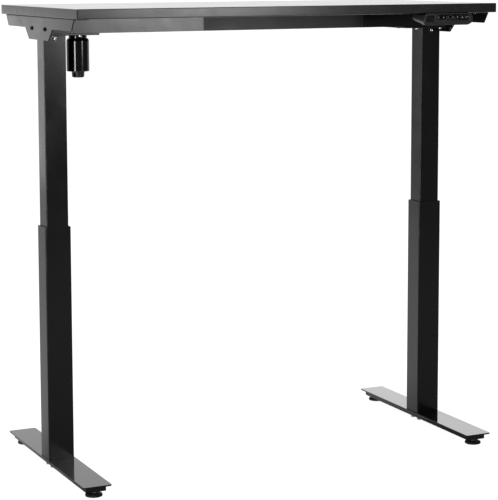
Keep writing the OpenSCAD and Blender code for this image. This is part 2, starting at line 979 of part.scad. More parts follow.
// Lead screw with its journal; the thread is drawn as a plain cylinder
module lead_screw(side) {
    shoulder = inner_top - head_block_h - 0.5;
    color("#a4a6aa")
        at_column(side) {
            rod(screw_dia, screw_bottom, shoulder);
            rod(journal_dia, screw_bottom + 10, shaft_z - 7);
        }
}

module screw_gear(side) {
    color("#8f9195")
        at_column(side)
            difference() {
                translate([0, 0, shaft_z])
                    union() {
                        bevel_teeth_solid(180 / bevel_teeth);
                        rod(16, -bevel_r - 7, -bevel_r + 0.5);
                    }
                rod(journal_dia, rail_bottom - eps, shaft_z);
            }
}

// Hexagonal shaft from the left gear case to the right one
module drive_shaft() {
    color("#9fa1a5")
        translate([0, 0, shaft_z])
            rotate([0, 90, 0])
                hex_rod(shaft_flats, -column_x - 12, column_x + 30);
}

// Bevel gears of the shaft, each with a sleeve that runs in its gear case
module shaft_gears() {
    color("#8f9195")
        for (side = [-1, 1])
            translate([side * column_x, 0, shaft_z])
                rotate([0, -90, 0])
                    difference() {
                        union() {
                            bevel_teeth_solid(0);
                            rod(sleeve_dia, -case_l / 2 - 1, -bevel_r + 0.5);
                        }
                        hex_rod(shaft_flats + 0.1, -case_l, case_l);
                    }
}

module worm_wheel() {
    color("#c9a94e")
        translate([motor_x, 0, shaft_z])
            rotate([0, 90, 0])
                difference() {
                    union() {
                        translate([0, 0, -wheel_w / 2])
                            linear_extrude(wheel_w)
                                rotate(90 + 180 / wheel_teeth)
                                    toothed(wheel_teeth, wheel_r - 1.4, wheel_r + 1.1, 0.48, 0.24);
                        rod(sleeve_dia, -case_l / 2 - 1, case_l / 2 + 1);
                    }
                    hex_rod(shaft_flats + 0.1, -case_l, case_l);
                }
}

// Laminated rotor with its shaft
module motor_rotor() {
    z0 = motor_bottom + 18;
    color("#77797d")
        translate([motor_x, motor_y, 0]) {
            rod(rotor_dia, z0, z0 + rotor_len);
            rod(16, z0 + rotor_len, z0 + rotor_len + 8);
            rod(rotor_shaft_dia, motor_bottom - 8, shaft_z + worm_len / 2 + 2);
        }
}

// Single-start worm whose crest faces the wheel at the height of the drive shaft
module motor_worm() {
    crest = worm_r + 1.1;
    root = worm_r - 1.6;
    turns = worm_len / worm_pitch;
    color("#b0a070")
        translate([motor_x, motor_y, shaft_z - worm_len / 2])
            difference() {
                linear_extrude(worm_len, twist = -360 * turns, slices = 10 * turns)
                    rotate(-90 - 360 * turns / 2)
                        polygon([
                            for (a = [0 : 30 : 330])
                                let (
                                    off = min(a, 360 - a),
                                    r = root + (crest - root) * max(0, min(1, (90 - off) / 60))
                                )
                                [r * cos(a), r * sin(a)]
                        ]);
                rod(rotor_shaft_dia, -eps, worm_len + eps);
            }
}

// ---- nodes ----

foot_plate(-1);  // left_foot_plate
foot_channel(-1);  // left_foot_channel
foot_bolts(-1);  // left_foot_bolts
nut_post(-1);  // left_nut_post
lead_nut(-1);  // left_lead_nut
outer_tube(-1);  // left_outer_tube
collar(-1);  // left_collar
foot_plate(1);  // right_foot_plate
foot_channel(1);  // right_foot_channel
foot_bolts(1);  // right_foot_bolts
nut_post(1);  // right_nut_post
lead_nut(1);  // right_lead_nut
outer_tube(1);  // right_outer_tube
collar(1);  // right_collar
leveller(-1, -1);  // left_front_leveller
leveller(-1, 1);  // left_rear_leveller
leveller(1, -1);  // right_front_leveller
leveller(1, 1);  // right_rear_leveller
tabletop();
bracket(-1);  // left_bracket
bracket(1);  // right_bracket
outer_rails();
middle_rails();
rail_blocks();
head_plates();
inner_tube(-1);  // left_inner_tube
inner_tube(1);  // right_inner_tube
glide_shoes();
head_blocks();
screw_bearings();
gear_cases();
gear_covers();
motor_gear_case();
motor_can();
motor_cap();
handset_case();
handset_window();
handset_board();
control_box();
control_lid();
control_board();
mains_inlet();
frame_bolts();
top_screws();
lead_screw(-1);  // left_screw
screw_gear(-1);  // left_screw_gear
lead_screw(1);  // right_screw
screw_gear(1);  // right_screw_gear
drive_shaft();
shaft_gears();
worm_wheel();
motor_rotor();
motor_worm();
button(0);  // button_up
button(1);  // button_down
button(2);  // button_1
button(3);  // button_2
button(4);  // button_3
button(5);  // button_4
button(6);  // button_timer
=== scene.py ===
# %% [markdown]
# # A height adjustable standing desk
# The desk is a black steel frame on two telescopic columns, under a thin black tabletop. A motor under
# the left side turns a hexagonal shaft, which turns one lead screw in each column. This script loads the
# finished machine as a fixed frame and gives every piece its surface, its soft edges and its small parts.
# Everything is in metres, +Z up, with the user on the -Y side.

# %% Load the frame
import json
import math
from collections import namedtuple

import bmesh
import bpy
from mathutils import Matrix, Vector

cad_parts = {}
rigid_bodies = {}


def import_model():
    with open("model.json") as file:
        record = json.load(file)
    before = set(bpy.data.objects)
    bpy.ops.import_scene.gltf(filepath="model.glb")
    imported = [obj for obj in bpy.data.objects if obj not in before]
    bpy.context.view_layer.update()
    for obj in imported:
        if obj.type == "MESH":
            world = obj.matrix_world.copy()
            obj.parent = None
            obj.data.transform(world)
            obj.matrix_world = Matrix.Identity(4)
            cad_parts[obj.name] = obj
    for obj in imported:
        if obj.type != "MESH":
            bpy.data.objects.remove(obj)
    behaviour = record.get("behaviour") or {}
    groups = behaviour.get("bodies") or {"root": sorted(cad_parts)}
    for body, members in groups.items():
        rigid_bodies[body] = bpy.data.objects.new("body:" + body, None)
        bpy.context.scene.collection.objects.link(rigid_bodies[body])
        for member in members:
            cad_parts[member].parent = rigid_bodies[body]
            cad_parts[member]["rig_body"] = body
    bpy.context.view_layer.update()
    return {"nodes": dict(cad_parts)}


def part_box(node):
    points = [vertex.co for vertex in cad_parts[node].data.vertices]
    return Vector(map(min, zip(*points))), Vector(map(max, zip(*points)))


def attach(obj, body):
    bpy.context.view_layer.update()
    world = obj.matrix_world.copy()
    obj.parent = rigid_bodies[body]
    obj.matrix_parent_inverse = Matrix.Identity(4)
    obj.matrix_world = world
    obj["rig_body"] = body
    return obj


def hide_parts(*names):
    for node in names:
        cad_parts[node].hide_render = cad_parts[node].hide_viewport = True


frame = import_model()
nodes = frame["nodes"]
scene = bpy.context.scene
MM = 0.001
FULL_TURN = 2 * math.pi


# %% [markdown]
# ## Helpers
# A hex colour is written in sRGB, as a colour picker shows it, but a shader works in linear light, so one
# function converts it. A second small function adds a shader node with its settings and links: every
# material below is built from it.

# %% Colour and node helpers
def linear(hex_code):
    """An sRGB hex colour as the linear RGBA that a shader socket takes."""
    channels = [int(hex_code[i : i + 2], 16) / 255 for i in (1, 3, 5)]
    return [c / 12.92 if c <= 0.04045 else ((c + 0.055) / 1.055) ** 2.4 for c in channels] + [1.0]


def add_node(tree, kind, sockets=None, **settings):
    """Adds a node. A socket's value is a plain value, or another node's output to link from."""
    made = tree.nodes.new(kind)
    for name, value in settings.items():
        setattr(made, name, value)
    for key, value in (sockets or {}).items():
        if isinstance(value, bpy.types.NodeSocket):
            tree.links.new(value, made.inputs[key])
        else:
            made.inputs[key].default_value = value
    return made


# %% [markdown]
# ## Camera and studio
# The desk is seen from its front left corner, from just above the tabletop, through a long lens. Black
# steel has hardly any colour of its own and shows its shape by what it mirrors. A studio hangs white and
# black cloths round such a thing. Here the room and the floor do that work: the camera sees both as plain
# white, but reflections see them bright only behind the desk, and dim in a sector at the rear left. Side
# faces then pick up light, and faces turned to the camera stay dark.

# %% Camera
EYE = Vector((-2.045, -4.269, 1.325))
HEADING, TILT, ROLL = math.radians(24.779), math.radians(6.791), math.radians(-0.233)
FOCAL_RATIO = 3.480  # focal length over the sensor's long side
SHIFT_X, SHIFT_Y = 0.051, -0.156

camera = bpy.data.objects.new("camera", bpy.data.cameras.new("camera"))
scene.collection.objects.link(camera)
scene.camera = camera
camera.data.lens = camera.data.sensor_width * FOCAL_RATIO
camera.data.shift_x, camera.data.shift_y = SHIFT_X, SHIFT_Y
camera.matrix_world = (
    Matrix.Translation(EYE)
    @ Matrix.Rotation(-HEADING, 4, "Z")
    @ Matrix.Rotation(math.pi / 2 - TILT, 4, "X")
    @ Matrix.Rotation(ROLL, 4, "Z")
)
print("lens", round(camera.data.lens, 1), "mm")

# %% Room
WHITE = linear("#ffffff")
SEEN_WALL = 1.1  # glow of the wall that the camera sees
FRONT_WALL, REAR_WALL = 0.05, 1.15  # glow of the walls that reflections see
DIM_SHARE = 0.3  # share of the glow that is left in the dim sector
WALL_SECTOR = (-0.345, -0.285)  # where the sector starts and ends, by the direction's X
FLOOR_SECTOR = (-0.37, -0.30)  # the same on the floor, by X over Y from the desk's left end

world = bpy.data.worlds.new("studio_room")
scene.world = world
world.use_nodes = True
room = world.node_tree
room.nodes.clear()
direction = add_node(room, "ShaderNodeTexCoord").outputs["Generated"]
facing = add_node(room, "ShaderNodeSeparateXYZ", {"Vector": direction})
depth = add_node(
    room,
    "ShaderNodeMapRange",
    {
        "Value": facing.outputs["Y"],
        "From Min": -0.45,
        "From Max": 0.5,
        "To Min": FRONT_WALL,
        "To Max": REAR_WALL,
    },
    interpolation_type="SMOOTHSTEP",
)
dim_sector = add_node(
    room,
    "ShaderNodeMapRange",
    {
        "Value": facing.outputs["X"],
        "From Min": WALL_SECTOR[0],
        "From Max": WALL_SECTOR[1],
        "To Min": DIM_SHARE,
    },
)
wall_glow = add_node(
    room,
    "ShaderNodeMath",
    {0: depth.outputs["Result"], 1: dim_sector.outputs["Result"]},
    operation="MULTIPLY",
)
walls = add_node(room, "ShaderNodeBackground", {"Strength": wall_glow.outputs["Value"]})
backdrop = add_node(room, "ShaderNodeBackground", {"Strength": SEEN_WALL})
for paint in (walls, backdrop):
    paint.inputs["Color"].default_value = WHITE
seen = add_node(
    room,
    "ShaderNodeMixShader",
    {
        0: add_node(room, "ShaderNodeLightPath").outputs["Is Camera Ray"],
        1: walls.outputs["Background"],
        2: backdrop.outputs["Background"],
    },
)
add_node(room, "ShaderNodeOutputWorld", {"Surface": seen.outputs["Shader"]})

# %% Floor
FLOOR_HALF = 40.0
SEEN_FLOOR = 0.95  # glow of the floor that the camera sees
REAR_FLOOR = 0.7  # glow of the floor that reflections see behind the desk
DESK_HALF = 0.6  # from the middle of the desk to its left end

floor_mesh = bpy.data.meshes.new("floor")
corners = [(x * FLOOR_HALF, y * FLOOR_HALF, 0) for x, y in ((-1, -1), (1, -1), (1, 1), (-1, 1))]
floor_mesh.from_pydata(corners, [], [(0, 1, 2, 3)])
floor = bpy.data.objects.new("floor", floor_mesh)
scene.collection.objects.link(floor)
floor_paint = bpy.data.materials.new("matt_white_floor_paint")
floor_paint.use_nodes = True
paint_tree = floor_paint.node_tree
floor_shader = paint_tree.nodes["Principled BSDF"]
floor_shader.inputs["Base Color"].default_value = linear("#8c8c8c")
floor_shader.inputs["Roughness"].default_value = 0.9
floor_shader.inputs["Specular IOR Level"].default_value = 0.0
floor_shader.inputs["Emission Color"].default_value = WHITE
on_floor = add_node(paint_tree, "ShaderNodeTexCoord").outputs["Object"]
spot = add_node(paint_tree, "ShaderNodeSeparateXYZ", {"Vector": on_floor})
rear = add_node(
    paint_tree,
    "ShaderNodeMapRange",
    {"Value": spot.outputs["Y"], "From Min": -0.3, "From Max": 0.5, "To Max": REAR_FLOOR},
)
from_end = add_node(paint_tree, "ShaderNodeMath", {0: spot.outputs["X"], 1: DESK_HALF}, operation="ADD")
slant = add_node(
    paint_tree,
    "ShaderNodeMath",
    {0: from_end.outputs["Value"], 1: spot.outputs["Y"]},
    operation="DIVIDE",
)
dim_floor = add_node(
    paint_tree,
    "ShaderNodeMapRange",
    {
        "Value": slant.outputs["Value"],
        "From Min": FLOOR_SECTOR[0],
        "From Max": FLOOR_SECTOR[1],
        "To Min": DIM_SHARE,
    },
)
floor_glow = add_node(
    paint_tree,
    "ShaderNodeMath",
    {0: rear.outputs["Result"], 1: dim_floor.outputs["Result"]},
    operation="MULTIPLY",
)
glow = add_node(
    paint_tree,
    "ShaderNodeMapRange",
    {
        "Value": add_node(paint_tree, "ShaderNodeLightPath").outputs["Is Camera Ray"],
        "To Min": floor_glow.outputs["Value"],
        "To Max": SEEN_FLOOR,
    },
)
paint_tree.links.new(glow.outputs["Result"], floor_shader.inputs["Emission Strength"])
floor_mesh.materials.append(floor_paint)


# %% Lights
def soft_box(name, place, target, width, height, brightness):
    """An area light aimed at a target. Its power is worked out from the brightness of its face."""
    light = bpy.data.lights.new(name, "AREA")
    light.shape = "RECTANGLE"
    light.size, light.size_y = width, height
    light.energy = brightness * math.pi * width * height
    lamp = bpy.data.objects.new(name, light)
    scene.collection.objects.link(lamp)
    lamp.location = place
    lamp.rotation_euler = (Vector(target) - Vector(place)).to_track_quat("-Z", "Y").to_euler()
    lamp.visible_camera = False


DESK_MIDDLE = (0, 0, 1.0)
soft_box("front_right_box", (1.05, -3.3, 1.40), DESK_MIDDLE, 0.7, 0.9, 10.0)
soft_box("left_strip", (-2.86, -1.97, 1.2), DESK_MIDDLE, 0.42, 2.2, 20.0)
soft_box("rear_left_panel", (-1.34, 2.5, 0.8), (-0.6, 0, 1.0), 0.32, 0.7, 1.1)
soft_box("rear_right_panel", (2.1, 2.5, 0.8), (0.56, 0, 0), 1.3, 0.8, 0.95)
soft_box("overhead_box", (0.0, 0.3, 4.5), (0, 0, 0), 4.0, 4.0, 1.2)
scene.view_settings.view_transform = "Standard"
print("studio: a white room, a pale floor and five soft boxes")


# %% [markdown]
# ## Finishes
# Each finish starts from what the real one is and how it was made. Most of them are black, so their
# differences are in gloss and grain: baked powder has a shallow orange peel, laminate a fine pearl grain,
# moulded plastic a spark-eroded texture, and plated steel a bright, slightly clouded surface.
# Patterns read Object coordinates, so a grain has the same size in millimetres on every piece.

# %% The function that makes a finish
def make_finish(
    name, dark, light, cloud_mm, grain_mm, grain_depth_mm, gloss, metallic=0.0, stretch=(1, 1, 1), **sockets
):
    """A finish of two tones clouded together, with a fine grain and a roughness that varies a little.

    cloud_mm and grain_mm are the sizes of the two patterns, and gloss is the roughness, low to high.
    """
    material = bpy.data.materials.new(name)
    material.use_nodes = True
    tree = material.node_tree
    shader = tree.nodes["Principled BSDF"]
    shader.inputs["Metallic"].default_value = metallic
    for key, value in sockets.items():
        shader.inputs[key.replace("_", " ")].default_value = value
    place = add_node(tree, "ShaderNodeTexCoord").outputs["Object"]
    spread = add_node(tree, "ShaderNodeMapping", {"Vector": place, "Scale": stretch}).outputs["Vector"]
    cloud_scale, grain_scale = (1 / (size * MM) for size in (cloud_mm, grain_mm))
    cloud = add_node(tree, "ShaderNodeTexNoise", {"Vector": spread, "Scale": cloud_scale, "Detail": 3})
    tone = add_node(tree, "ShaderNodeMix", {"Factor": cloud.outputs["Fac"]}, data_type="RGBA")
    colours = [s for s in tone.inputs if s.type == "RGBA"]
    colours[0].default_value, colours[1].default_value = linear(dark), linear(light)
    tree.links.new([s for s in tone.outputs if s.type == "RGBA"][0], shader.inputs["Base Color"])
    rough = add_node(
        tree,
        "ShaderNodeMapRange",
        {
            "Value": cloud.outputs["Fac"],
            "From Min": 0.3,
            "From Max": 0.7,
            "To Min": gloss[0],
            "To Max": gloss[1],
        },
    )
    tree.links.new(rough.outputs["Result"], shader.inputs["Roughness"])
    grain = add_node(tree, "ShaderNodeTexNoise", {"Vector": spread, "Scale": grain_scale, "Detail": 2})
    bump = add_node(
        tree,
        "ShaderNodeBump",
        {"Height": grain.outputs["Fac"], "Distance": grain_depth_mm * MM, "Strength": 0.5},
    )
    tree.links.new(bump.outputs["Normal"], shader.inputs["Normal"])
    return material


# %% Powder coats and paints
# Polyester powder coat, sprayed and baked: black, satin, with an orange peel of about 1.5 mm
powder_coat = make_finish("satin_black_powder_coat", "#0e0e0f", "#131314", 60, 1.5, 0.008, (0.16, 0.22))
# The same powder on the flat feet, where it flowed out smooth and glossy enough to mirror the columns
foot_coat = make_finish("gloss_black_powder_coat", "#0f0f10", "#131314", 80, 2.5, 0.003, (0.08, 0.11))
# The inner rails are drawn sheet under a thinner, duller coat
rail_coat = make_finish("matt_black_powder_coat", "#131314", "#19191a", 50, 1.2, 0.012, (0.3, 0.38))
# Stoved enamel on the drawn motor can: deep black with a wet gloss
motor_enamel = make_finish("black_stoving_enamel", "#060607", "#0a0a0b", 40, 3.0, 0.003, (0.1, 0.14))

# %% Tabletop, plastics and rubber
# Melamine laminate pressed against a fine plate: an even pearl grain, glossy only at a grazing look
laminate = make_finish("black_melamine_laminate", "#161617", "#1a1a1b", 30, 0.8, 0.0008, (0.13, 0.15))
# ABS edge band, glued round the board and buffed
edge_band = make_finish("black_abs_edge_band", "#222224", "#29292b", 25, 0.7, 0.006, (0.2, 0.26))
# Moulded ABS with a fine spark-eroded texture
moulded_abs = make_finish("black_moulded_abs", "#141416", "#1a1a1c", 20, 0.5, 0.012, (0.3, 0.4))
# Glossy ABS button caps
button_abs = make_finish("gloss_black_abs", "#111113", "#161618", 12, 0.6, 0.003, (0.16, 0.22))
# Acetal, turned or moulded: milky white and waxy
acetal = make_finish(
    "white_acetal", "#d9d6ce", "#e4e2da", 15, 0.8, 0.006, (0.38, 0.46), Subsurface_Weight=0.05
)
# Moulded rubber: dead matt, with a dusty bloom
rubber = make_finish("black_moulded_rubber", "#101011", "#1b1b1b", 9, 0.6, 0.03, (0.6, 0.8))
# Smoked acrylic over the display: polished, almost black
smoked_acrylic = make_finish(
    "smoked_acrylic", "#050507", "#08080b", 30, 4.0, 0.001, (0.03, 0.06), Coat_Weight=0.5
)
# Screen-printed marks: pale grey ink
print_ink = make_finish("pale_grey_print_ink", "#b9babd", "#c9cacc", 4, 0.4, 0.003, (0.5, 0.6))
# Unlit segments of the display, behind the acrylic
dead_segment = make_finish("unlit_display_segment", "#16161a", "#1b1b20", 4, 0.5, 0.001, (0.3, 0.4))

# %% Metals
# Zinc plate over pressed steel: bright, bluish, faintly clouded
zinc = make_finish("bright_zinc_plate", "#c6c9cd", "#dcdee0", 5, 0.3, 0.004, (0.2, 0.32), metallic=1.0)
# Black oxide on the bracket bolts, oiled: dark and half glossy
black_oxide = make_finish(
    "black_oxide_steel", "#101012", "#18181a", 6, 0.3, 0.003, (0.25, 0.35), metallic=0.6
)
# Rolled and ground steel of the screws and the shaft, oiled
ground_steel = make_finish(
    "ground_steel", "#8d8f93", "#a3a5a9", 12, 0.25, 0.004, (0.2, 0.3), metallic=1.0, stretch=(1, 1, 0.15)
)
# Pressure die-cast aluminium, shot-blasted: pale grey and evenly rough
cast_aluminium = make_finish(
    "die_cast_aluminium", "#9a9ca0", "#b0b2b5", 18, 0.6, 0.03, (0.4, 0.55), metallic=1.0
)
# Sintered bronze, porous and full of oil
bronze = make_finish("sintered_bronze", "#9a7433", "#b98d45", 3, 0.35, 0.02, (0.35, 0.5), metallic=1.0)
# Phosphated steel of welded blocks and posts inside the frame
phosphated = make_finish("phosphated_steel", "#4a4b4d", "#5a5b5d", 14, 0.5, 0.01, (0.45, 0.6), metallic=0.8)
# Stacked silicon steel sheets of the rotor
core_steel = make_finish(
    "laminated_core_steel",
    "#5c5d60",
    "#808286",
    20,
    0.5,
    0.03,
    (0.3, 0.45),
    metallic=1.0,
    stretch=(0.02, 0.02, 1),
)
# Glass-fibre board under green solder resist
board_green = make_finish("green_solder_resist", "#0f4a28", "#1a6338", 3, 0.4, 0.01, (0.3, 0.4))
print("finishes:", len([m for m in bpy.data.materials if m.name != "matt_white_floor_paint"]))


# %% [markdown]
# ## Every node gets its finish
# The table pairs each finish and each record slot with the nodes made of it. Nodes that are replaced by a
# softened copy further down take the same finish from here; the finer pieces that replace other nodes are
# given their finish where they are made.

# %% Finish table
SIDES = ("left", "right")
FEET = [f"{side}_{end}_leveller" for side in SIDES for end in ("front", "rear")]
BUTTONS = ["up", "down", "1", "2", "3", "4", "timer"]


def both(*names):
    """The left and the right node of each name."""
    return [f"{side}_{name}" for name in names for side in SIDES]


FINISHES = [
    (powder_coat, "black_powder_coat", both("bracket", "inner_tube", "outer_tube", "foot_channel")
     + ["outer_rails", "head_plates", "control_box"]),
    (foot_coat, "black_powder_coat", both("foot_plate")),
    (rail_coat, "black_powder_coat", ["middle_rails"]),
    (phosphated, "black_powder_coat", both("nut_post") + ["rail_blocks"]),
    (laminate, "black_laminate", ["tabletop"]),
    (motor_enamel, "motor_black", ["motor_can"]),
    (moulded_abs, "black_plastic", both("collar")
     + ["motor_cap", "handset_case", "mains_inlet", "control_lid"]),
    (button_abs, "black_plastic", ["button_" + name for name in BUTTONS]),
    (acetal, "white_acetal", ["glide_shoes"] + both("lead_nut")),
    (smoked_acrylic, "display_window", ["handset_window"]),
    (board_green, "circuit_board", ["handset_board", "control_board"]),
    (rubber, "black_rubber", FEET),
    (zinc, "zinc_steel", both("foot_bolts") + ["frame_bolts", "top_screws"]),
    (ground_steel, "bare_steel", both("screw") + ["drive_shaft", "screw_bearings"]),
    (ground_steel, "bare_steel", both("screw_gear") + ["shaft_gears", "motor_worm"]),
    (core_steel, "bare_steel", ["motor_rotor"]),
    (cast_aluminium, "cast_alloy", ["head_blocks", "gear_cases", "gear_covers", "motor_gear_case"]),
    (bronze, "bronze", ["worm_wheel"]),
]
finish_of = {name: finish for finish, _, names in FINISHES for name in names}
for name, node in nodes.items():
    node.data.materials.clear()
    node.data.materials.append(finish_of[name])
print("nodes with a finish:", len(finish_of))


# %% [markdown]
# ## Soft edges
# Sheet steel, board and mouldings never end in a razor edge: the thin line of light along an edge is what
# makes a black object readable. A bevel modifier can round a mesh by angle, but the frame's meshes are
# loose triangles, so each piece starts as a copy whose points are welded and whose flat faces are joined.
# Normals weighted by area then keep the flat faces flat.

# %% Function for a soft-edged copy
WELD = 0.002 * MM  # points closer than this are one point
FLAT = math.radians(0.5)  # faces that turn by less than this are one face
SHARP = math.radians(30)  # edges that turn by more than this are rounded


def place_piece(name, mesh, body, finish, stands_for=()):
    """Puts a finished mesh into the scene on its body, in place of the nodes that it stands for."""
    piece = bpy.data.objects.new(name, mesh)
    scene.collection.objects.link(piece)
    if finish:
        mesh.materials.clear()
        mesh.materials.append(finish)
    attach(piece, body)
    if stands_for:
        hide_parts(*stands_for)
    return piece


def settled(piece):
    """The mesh of an object with its modifiers applied. The object is then removed."""
    ready = piece.evaluated_get(bpy.context.evaluated_depsgraph_get())
    mesh = bpy.data.meshes.new_from_object(ready)
    mesh.name = piece.name
    bpy.data.objects.remove(piece)
    return mesh


def welded(name):
    """A welded copy of a node's mesh, with its flat faces joined."""
    work = bmesh.new()
    work.from_mesh(nodes[name].data)
    bmesh.ops.remove_doubles(work, verts=work.verts, dist=WELD)
    bmesh.ops.dissolve_limit(work, angle_limit=FLAT, verts=work.verts, edges=work.edges)
    return work


def rounded_mesh(name, work, radius_mm):
    """Rounds every sharp edge of a bmesh, and shades the result smooth."""
    mesh = bpy.data.meshes.new(name)
    work.to_mesh(mesh)
    work.free()
    mesh.shade_smooth()
    piece = bpy.data.objects.new(name, mesh)
    scene.collection.objects.link(piece)
    bevel = piece.modifiers.new("soft edges", "BEVEL")
    bevel.width = radius_mm * MM
    bevel.segments = 2
    bevel.angle_limit = SHARP
    bevel.use_clamp_overlap = False
    piece.modifiers.new("flat faces", "WEIGHTED_NORMAL")
    return settled(piece)


def soften(name, radius_mm):
    """Replaces a node by a copy with rounded edges."""
    mesh = rounded_mesh(name, welded(name), radius_mm)
    body = nodes[name]["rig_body"]
    return place_piece(name + "_finished", mesh, body, finish_of[name], [name])


# %% Frame, columns and feet with soft edges
SOFTENED = {
    0.8: both("foot_plate") + ["head_plates", "control_box"],
    0.5: both("foot_channel", "bracket", "inner_tube", "outer_tube", "collar")
    + ["outer_rails", "middle_rails"],
    0.6: ["gear_cases", "gear_covers", "motor_gear_case", "control_lid", "motor_can", "motor_cap"],
    0.4: ["mains_inlet", "handset_window"] + ["button_" + name for name in BUTTONS],
}
for radius, names in SOFTENED.items():
    for name in names:
        soften(name, radius)
    print("edges of", radius, "mm:", ", ".join(names))


# %% [markdown]
# ## Tabletop
# The board is chipboard under black laminate, with a plastic band glued round its edge. The two are
# different black surfaces. The band could be a piece of its own, but it lies flush, so one softened copy
# with a second finish on every face that looks sideways gives the same look without a seam to hide.

# %% Tabletop with its edge band
SIDEWAYS = 0.7  # a face whose normal leans further out than this belongs to the edge band
top_piece = soften("tabletop", 1.0)
top_piece.data.materials.append(edge_band)
for face in top_piece.data.polygons:
    face.material_index = 1 if abs(face.normal.z) < SIDEWAYS else 0
print("edge band faces:", sum(face.material_index for face in top_piece.data.polygons))


# %% [markdown]
# ## Turned and threaded parts
# Bolts, studs and screws are turned or rolled, so their shape is a stack of rings. A ring's radius is a
# plain number, or a rule of the angle and the height: a hexagon for a socket, ridges for a grip, or a
# helix for a thread. The rings are joined from the inside of the socket, over the head, to the tip.

# %% Rings and their rules
def hexagon(flats):
    """The radius of a hexagon, by its width across the flats."""
    return lambda angle, z: flats / 2 / math.cos(angle % (math.pi / 3) - math.pi / 6)


def ridged(radius, depth, count):
    """A wavy edge with a number of ridges, all of one depth."""
    return lambda angle, z: radius - depth * (0.5 - 0.5 * math.cos(count * angle))


def thread(radius, depth, pitch, starts=1):
    """A right-handed thread of one or more starts."""
    share = FULL_TURN / starts
    return lambda angle, z: radius - depth * abs(2 * ((z / pitch - angle / share) % 1) - 1)


def turned(name, rings, around=24):
    """A closed body from rings of (height, radius) in mm."""
    work = bmesh.new()
    loops = []
    for z, radius in rings:
        loop = []
        for i in range(around):
            angle = FULL_TURN * i / around
            r = radius(angle, z) if callable(radius) else radius
            loop.append(work.verts.new((r * MM * math.cos(angle), r * MM * math.sin(angle), z * MM)))
        loops.append(loop)
    work.faces.new(loops[0][::-1])
    work.faces.new(loops[-1])
    for low, high in zip(loops, loops[1:]):
        for i in range(around):
            j = (i + 1) % around
            work.faces.new((low[i], low[j], high[j], high[i]))
    mesh = bpy.data.meshes.new(name)
    work.to_mesh(mesh)
    work.free()
    mesh.shade_smooth()
    mesh.set_sharp_from_angle(angle=math.radians(35))
    return mesh


def threaded_rings(radius, depth, pitch, start, end, starts=1):
    """The rings of a threaded length, four to a pitch, with a run-out at both ends."""
    count = max(2, round((end - start) / (pitch / 4)))
    rule = thread(radius, depth, pitch, starts)
    rings = [(start + (end - start) * i / count, rule) for i in range(1, count)]
    return [(start, radius - depth)] + rings + [(end, radius - depth)]


# %% [markdown]
# ## Placing the fasteners
# The frame already holds every screw as a plain solid at its right place. Each solid is measured, its
# head end and its direction are found, and Geometry Nodes puts one finely made copy at each place. The
# copies are turned by a random angle about their own axis, as an assembler leaves them.

# %% Measure the plain fasteners
Fastener = namedtuple("Fastener", "head aim length width")
END_SLICE = 0.1 * MM  # how thick a slice at one end is looked at to tell the head from the tip


def fasteners_in(name):
    """Each separate body of a node: its head's place, its direction, its length and width in mm."""
    work = bmesh.new()
    work.from_mesh(nodes[name].data)
    bmesh.ops.remove_doubles(work, verts=work.verts, dist=WELD)
    left, found = set(work.verts), []
    while left:
        group, to_visit = [], [left.pop()]
        while to_visit:
            vert = to_visit.pop()
            group.append(vert.co.copy())
            for edge in vert.link_edges:
                other = edge.other_vert(vert)
                if other in left:
                    left.remove(other)
                    to_visit.append(other)
        low = Vector([min(p[i] for p in group) for i in range(3)])
        high = Vector([max(p[i] for p in group) for i in range(3)])
        size, middle = high - low, (low + high) / 2
        along = max(range(3), key=lambda i: size[i])
        across = [i for i in range(3) if i != along]
        wide = max(size[i] for i in across) / 2
        at_low = [p for p in group if p[along] < low[along] + END_SLICE]
        reach = max(math.hypot(*(p[i] - middle[i] for i in across)) for p in at_low)
        way = 1 if reach > 0.9 * wide else -1
        head = middle.copy()
        head[along] = low[along] if way > 0 else high[along]
        aim = Vector([way if i == along else 0 for i in range(3)])
        found.append(Fastener(head, aim, round(size[along] / MM, 1), round(2 * wide / MM, 1)))
    work.free()
    return sorted(found, key=lambda f: (f.length, f.head[:]))


# %% Geometry Nodes that place one shape at many spots
placing = bpy.data.node_groups.new("shape_at_each_spot", "GeometryNodeTree")
for label, kind in (("Spots", "Geometry"), ("Shape", "Object"), ("Finish", "Material"), ("Seed", "Int")):
    placing.interface.new_socket(label, in_out="INPUT", socket_type="NodeSocket" + kind)
placing.interface.new_socket("Shapes", in_out="OUTPUT", socket_type="NodeSocketGeometry")
given = add_node(placing, "NodeGroupInput").outputs
aim_at = add_node(placing, "GeometryNodeInputNamedAttribute", {"Name": "aim"}, data_type="FLOAT_VECTOR")
upright = add_node(
    placing, "FunctionNodeAlignRotationToVector", {"Vector": aim_at.outputs["Attribute"]}, axis="Z"
)
# the node has sockets of one name for each kind of number, so its plain number sockets are picked by type
random_angle = add_node(placing, "FunctionNodeRandomValue", {"Seed": given["Seed"]}, data_type="FLOAT")
highest_angle = next(s for s in random_angle.inputs if (s.name, s.type) == ("Max", "VALUE"))
highest_angle.default_value = FULL_TURN
angle_out = next(s for s in random_angle.outputs if s.type == "VALUE")
spin = add_node(placing, "FunctionNodeAxisAngleToRotation", {"Axis": (0, 0, 1), "Angle": angle_out})
turned_by = add_node(
    placing,
    "FunctionNodeRotateRotation",
    {"Rotation": upright.outputs["Rotation"], "Rotate By": spin.outputs["Rotation"]},
    rotation_space="LOCAL",
)
shape = add_node(placing, "GeometryNodeObjectInfo", {"Object": given["Shape"]})
copies = add_node(
    placing,
    "GeometryNodeInstanceOnPoints",
    {
        "Points": given["Spots"],
        "Instance": shape.outputs["Geometry"],
        "Rotation": turned_by.outputs["Rotation"],
    },
)
whole = add_node(placing, "GeometryNodeRealizeInstances", {"Geometry": copies.outputs["Instances"]})
coated = add_node(
    placing, "GeometryNodeSetMaterial", {"Geometry": whole.outputs["Geometry"], "Material": given["Finish"]}
)
add_node(placing, "NodeGroupOutput", {"Shapes": coated.outputs["Geometry"]})
